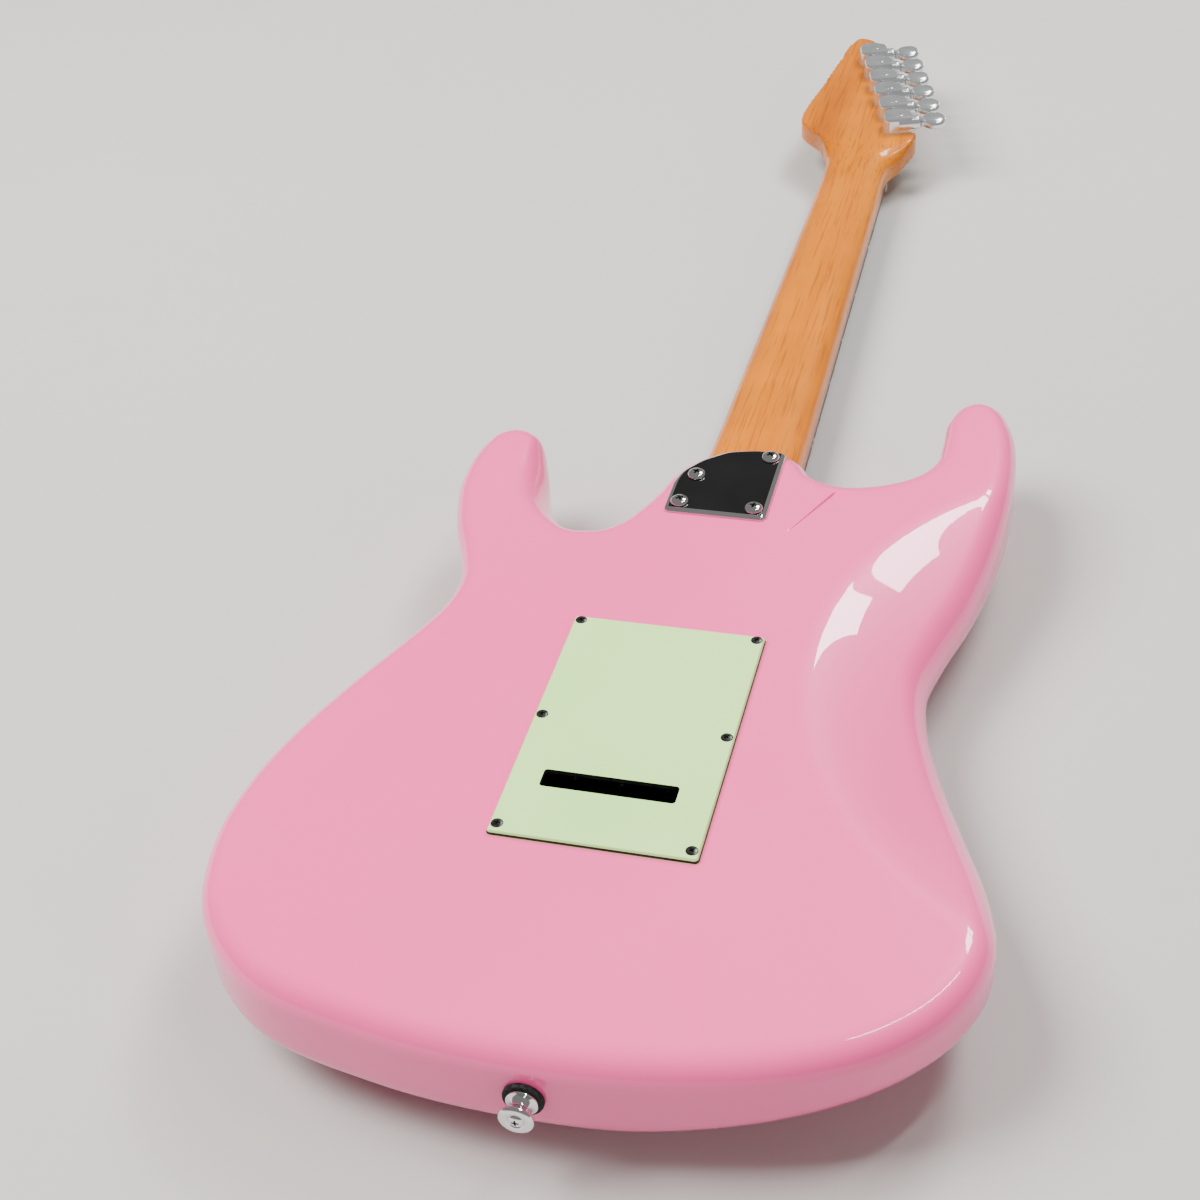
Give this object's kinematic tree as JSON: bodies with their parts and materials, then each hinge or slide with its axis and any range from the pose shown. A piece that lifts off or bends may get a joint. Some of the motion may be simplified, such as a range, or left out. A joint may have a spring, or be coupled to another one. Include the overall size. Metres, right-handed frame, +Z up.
{
  "type": "electric guitar",
  "caption": "Solid-body electric guitar, double cutaway, bolt-on neck, sprung vibrato bridge, in-line tuners, lying face down.",
  "frame": {"origin": "on the surface that the guitar lies on, under the middle of its bounding box", "axes": "+X to the bass side, +Y along the neck towards the headstock, +Z up, out of the guitar's back"},
  "size_m": [0.3324, 1.0074, 0.0702],
  "materials": {
    "pink_lacquer": "gloss pink lacquer over wood",
    "roasted_maple": "gloss clear coat over roasted maple",
    "dark_fretboard": "oiled dark wood",
    "bone": "polished bone",
    "mint_plastic": "mint three-ply plastic",
    "chrome": "polished chrome",
    "steel": "plated steel",
    "black_plastic": "black plastic",
    "black_felt": "black felt washers",
    "string_steel": "drawn and wound steel"
  },
  "bodies": {
    "guitar": {"body": "pink_lacquer", "neck": "roasted_maple", "fretboard": "dark_fretboard", "nut": "bone", "neck_plate": "chrome", "neck_screw_1": "chrome", "neck_screw_2": "chrome", "neck_screw_3": "chrome", "neck_screw_4": "chrome", "strap_button_tail": "chrome", "strap_button_horn": "chrome", "tremolo_cover": "mint_plastic", "spring_claw": "steel", "tremolo_spring_1": "steel", "tremolo_spring_2": "steel", "tremolo_spring_3": "steel", "pivot_post_bass": "chrome", "pivot_post_treble": "chrome", "pickguard": "mint_plastic", "neck_pickup": "mint_plastic", "middle_pickup": "mint_plastic", "bridge_pickup": "mint_plastic", "selector_switch": "black_plastic", "output_jack": "chrome", "string_1": "string_steel", "string_2": "string_steel", "string_3": "string_steel", "string_4": "string_steel", "string_5": "string_steel", "string_6": "string_steel", "tuner_housing_1": "chrome", "tuner_housing_2": "chrome", "tuner_housing_3": "chrome", "tuner_housing_4": "chrome", "tuner_housing_5": "chrome", "tuner_housing_6": "chrome"},
    "bridge": {"bridge_plate": "chrome", "tremolo_block": "steel", "saddle_1": "chrome", "saddle_2": "chrome", "saddle_3": "chrome", "saddle_4": "chrome", "saddle_5": "chrome", "saddle_6": "chrome"},
    "volume": {"volume_knob": "mint_plastic"},
    "tone_1": {"tone_knob_1": "mint_plastic"},
    "tone_2": {"tone_knob_2": "mint_plastic"},
    "selector": {"selector_lever": "mint_plastic"},
    "button_1": {"tuner_button_1": "chrome"},
    "post_1": {"string_post_1": "chrome"},
    "button_2": {"tuner_button_2": "chrome"},
    "post_2": {"string_post_2": "chrome"},
    "button_3": {"tuner_button_3": "chrome"},
    "post_3": {"string_post_3": "chrome"},
    "button_4": {"tuner_button_4": "chrome"},
    "post_4": {"string_post_4": "chrome"},
    "button_5": {"tuner_button_5": "chrome"},
    "post_5": {"string_post_5": "chrome"},
    "button_6": {"tuner_button_6": "chrome"},
    "post_6": {"string_post_6": "chrome"}
  },
  "joints": [
    {"name": "bridge_tilt", "type": "hinge", "parent": "guitar", "child": "bridge", "pos_m": [-0.00181, -0.32437, 0.0156], "axis": [1, 0, 0], "range_deg": [-2, 8], "stiffness_Nm_per_rad": 12, "deforming": ["string_1", "string_2", "string_3", "string_4", "string_5", "string_6", "tremolo_spring_1", "tremolo_spring_2", "tremolo_spring_3"]},
    {"name": "volume_turn", "type": "hinge", "parent": "guitar", "child": "volume", "pos_m": [-0.06181, -0.32437, 0.01], "axis": [0, 0, -1], "range_deg": [0, 270]},
    {"name": "tone_1_turn", "type": "hinge", "parent": "guitar", "child": "tone_1", "pos_m": [-0.07981, -0.35837, 0.01], "axis": [0, 0, -1], "range_deg": [0, 270]},
    {"name": "tone_2_turn", "type": "hinge", "parent": "guitar", "child": "tone_2", "pos_m": [-0.08181, -0.39437, 0.01], "axis": [0, 0, -1], "range_deg": [0, 270]},
    {"name": "selector_swing", "type": "hinge", "parent": "guitar", "child": "selector", "pos_m": [-0.08581, -0.28437, 0.032], "axis": [0.9135, -0.4067, 0], "range_deg": [-28, 28]},
    {"name": "button_1_turn", "type": "hinge", "parent": "guitar", "child": "button_1", "pos_m": [0.03187, 0.35334, 0.042], "axis": [0.956, 0.2934, 0], "continuous": true},
    {"name": "post_1_turn", "type": "hinge", "parent": "guitar", "child": "post_1", "pos_m": [0.01849, 0.35603, 0.02], "axis": [0, 0, 1], "continuous": true},
    {"name": "button_2_turn", "type": "hinge", "parent": "guitar", "child": "button_2", "pos_m": [0.0253, 0.37475, 0.042], "axis": [0.956, 0.2934, 0], "continuous": true},
    {"name": "post_2_turn", "type": "hinge", "parent": "guitar", "child": "post_2", "pos_m": [0.01192, 0.37744, 0.02], "axis": [0, 0, 1], "continuous": true},
    {"name": "button_3_turn", "type": "hinge", "parent": "guitar", "child": "button_3", "pos_m": [0.01873, 0.39616, 0.042], "axis": [0.956, 0.2934, 0], "continuous": true},
    {"name": "post_3_turn", "type": "hinge", "parent": "guitar", "child": "post_3", "pos_m": [0.00535, 0.39885, 0.02], "axis": [0, 0, 1], "continuous": true},
    {"name": "button_4_turn", "type": "hinge", "parent": "guitar", "child": "button_4", "pos_m": [0.01216, 0.41757, 0.042], "axis": [0.956, 0.2934, 0], "continuous": true},
    {"name": "post_4_turn", "type": "hinge", "parent": "guitar", "child": "post_4", "pos_m": [-0.00122, 0.42026, 0.02], "axis": [0, 0, 1], "continuous": true},
    {"name": "button_5_turn", "type": "hinge", "parent": "guitar", "child": "button_5", "pos_m": [0.00559, 0.43898, 0.042], "axis": [0.956, 0.2934, 0], "continuous": true},
    {"name": "post_5_turn", "type": "hinge", "parent": "guitar", "child": "post_5", "pos_m": [-0.00779, 0.44167, 0.02], "axis": [0, 0, 1], "continuous": true},
    {"name": "button_6_turn", "type": "hinge", "parent": "guitar", "child": "button_6", "pos_m": [-0.00098, 0.46039, 0.042], "axis": [0.956, 0.2934, 0], "continuous": true},
    {"name": "post_6_turn", "type": "hinge", "parent": "guitar", "child": "post_6", "pos_m": [-0.01436, 0.46308, 0.02], "axis": [0, 0, 1], "continuous": true}
  ],
  "couplings": [
    {"joint": "post_1_turn", "follows": "button_1_turn", "ratio": 0.055556},
    {"joint": "post_2_turn", "follows": "button_2_turn", "ratio": 0.055556},
    {"joint": "post_3_turn", "follows": "button_3_turn", "ratio": 0.055556},
    {"joint": "post_4_turn", "follows": "button_4_turn", "ratio": 0.055556},
    {"joint": "post_5_turn", "follows": "button_5_turn", "ratio": 0.055556},
    {"joint": "post_6_turn", "follows": "button_6_turn", "ratio": 0.055556}
  ]
}
